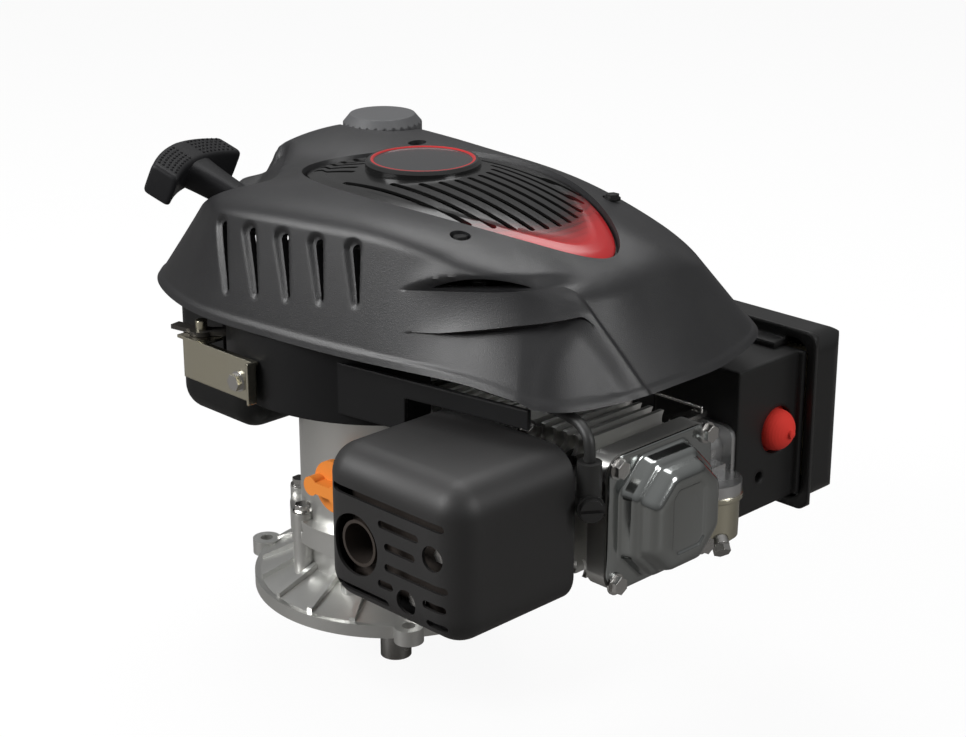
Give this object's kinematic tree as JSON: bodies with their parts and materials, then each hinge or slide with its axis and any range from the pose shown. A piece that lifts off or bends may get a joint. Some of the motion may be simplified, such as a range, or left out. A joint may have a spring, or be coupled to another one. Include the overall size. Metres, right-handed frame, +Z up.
{
  "type": "small gasoline engine",
  "caption": "Vertical-shaft single-cylinder overhead-valve gasoline engine with recoil starter, louvred shroud, muffler, carburettor, air filter and fuel tank.",
  "frame": {"origin": "on the crank axis at the mounting face of the base", "axes": "+Z up along the crank axis, +X along the cylinder towards the valve cover, +Y the carburettor and air filter side"},
  "size_m": [0.4416, 0.367, 0.3614],
  "materials": {
    "cast_aluminium": "as cast, fine grain",
    "machined_aluminium": "machined",
    "steel": "zinc plated or bare",
    "plated_sheet": "bright zinc plate with a faint yellow cast",
    "bright_collar": "bright",
    "bronze": "sintered",
    "iron": "ground",
    "black_steel": "matte heat-proof black",
    "muffler_steel": "heat tinted",
    "starter_steel": "satin black",
    "shroud_plastic": "fine moulded grain",
    "box_plastic": "satin",
    "panel_gloss": "high gloss",
    "badge_plate": "dark grey face with a red ring",
    "coil_resin": "cast resin",
    "rubber": "soft black",
    "gasket": "pressed fibre",
    "orange_cap": "orange",
    "red_bulb": "soft red",
    "paper": "pleated paper",
    "rope": "braided"
  },
  "bodies": {
    "engine": {"sump": "cast_aluminium", "sump_bolts": "steel", "lower_bush": "bronze", "oil_seals": "rubber", "crankcase": "cast_aluminium", "upper_bearing": "steel", "cylinder_head": "cast_aluminium", "head_gasket": "gasket", "head_bolts": "steel", "valve_cover": "plated_sheet", "valve_cover_gasket": "gasket", "valve_cover_bolts": "steel", "valves": "steel", "valve_springs": "steel", "rocker_arms": "steel", "push_rods": "steel", "piston": "machined_aluminium", "piston_rings": "steel", "spark_plug": "steel", "plug_boot": "rubber", "ignition_lead": "rubber", "ignition_coil": "coil_resin", "muffler": "muffler_steel", "muffler_guard": "black_steel", "guard_screws": "steel", "intake_spacer": "box_plastic", "carburettor": "machined_aluminium", "float_bowl": "plated_sheet", "bowl_bolts": "steel", "air_box": "box_plastic", "filter_element": "paper", "fuel_tank": "box_plastic", "fuel_hose": "rubber", "blower_base": "shroud_plastic", "top_shroud": "shroud_plastic", "grille_panel": "panel_gloss", "badge": "badge_plate", "shroud_screws": "shroud_plastic", "starter_frame": "starter_steel", "rope_guide": "bright_collar", "starter_rope": "rope", "brake_bracket": "plated_sheet", "bracket_bolts": "steel"},
    "crank": {"crankshaft": "steel", "flywheel": "machined_aluminium", "cooling_fan": "box_plastic", "starter_cup": "starter_steel", "flywheel_nut": "steel"},
    "rod": {"connecting_rod": "machined_aluminium"},
    "cam": {"camshaft": "iron"},
    "handle": {"starter_handle": "box_plastic"},
    "pulley": {"starter_pulley": "box_plastic"},
    "cap": {"fuel_cap": "box_plastic"},
    "filler": {"oil_cap": "orange_cap"},
    "primer": {"primer_bulb": "red_bulb"},
    "cover": {"air_cover": "box_plastic"},
    "governor": {"governor_arm": "steel"},
    "throttle": {"throttle_shaft": "steel"},
    "link": {"governor_link": "steel"},
    "brake": {"brake_lever": "plated_sheet"}
  },
  "joints": [
    {"name": "crank_spin", "type": "hinge", "parent": "engine", "child": "crank", "pos_m": [0, 0, 0], "axis": [0, 0, 1], "continuous": true},
    {"name": "rod_swing", "type": "hinge", "parent": "crank", "child": "rod", "pos_m": [0.021, 0, 0.127], "axis": [0, 0, 1], "continuous": true},
    {"name": "cam_spin", "type": "hinge", "parent": "engine", "child": "cam", "pos_m": [0, 0.045, 0.07], "axis": [0, 0, 1], "continuous": true},
    {"name": "starter_pull", "type": "slide", "parent": "engine", "child": "handle", "axis": [-0.8556, -0.3182, 0.4083], "range_m": [0, 0.6], "deforming": ["starter_rope"]},
    {"name": "pulley_spin", "type": "hinge", "parent": "engine", "child": "pulley", "pos_m": [0, 0, 0.244], "axis": [0, 0, 1], "range_deg": [-859.5, 0]},
    {"name": "fuel_cap_lift", "type": "slide", "parent": "engine", "child": "cap", "axis": [0, 0, 1], "range_m": [0, 0.06]},
    {"name": "oil_cap_turn", "type": "hinge", "parent": "engine", "child": "filler", "pos_m": [0.028, -0.0743, 0.099], "axis": [0, -1, 0], "range_deg": [0, 120]},
    {"name": "primer_press", "type": "slide", "parent": "engine", "child": "primer", "axis": [-1, 0, 0], "range_m": [0, 0.008], "stiffness_N_per_m": 200},
    {"name": "air_cover_tilt", "type": "hinge", "parent": "engine", "child": "cover", "pos_m": [0.17, 0.159, 0.075], "axis": [-1, 0, 0], "range_deg": [0, 40]},
    {"name": "governor_swing", "type": "hinge", "parent": "engine", "child": "governor", "pos_m": [0.116, 0.07, 0.15], "axis": [0, 0, 1], "range_deg": [0, 60]},
    {"name": "throttle_turn", "type": "hinge", "parent": "engine", "child": "throttle", "pos_m": [0.196, 0.07, 0.15], "axis": [0, 0, 1], "range_deg": [0, 60]},
    {"name": "link_swing", "type": "hinge", "parent": "governor", "child": "link", "pos_m": [0.116, 0.092, 0.1545], "axis": [0, 0, 1], "range_deg": [-60, 0]},
    {"name": "brake_swing", "type": "hinge", "parent": "engine", "child": "brake", "pos_m": [-0.07, -0.106, 0.188], "axis": [0, 0, 1], "range_deg": [-8, 0]}
  ],
  "couplings": [
    {"joint": "rod_swing", "follows": "crank_spin", "ratio": -1},
    {"joint": "cam_spin", "follows": "crank_spin", "ratio": -0.5},
    {"joint": "pulley_spin", "follows": "starter_pull", "rad_per_m": -25},
    {"joint": "throttle_turn", "follows": "governor_swing", "ratio": 1},
    {"joint": "link_swing", "follows": "governor_swing", "ratio": -1}
  ]
}
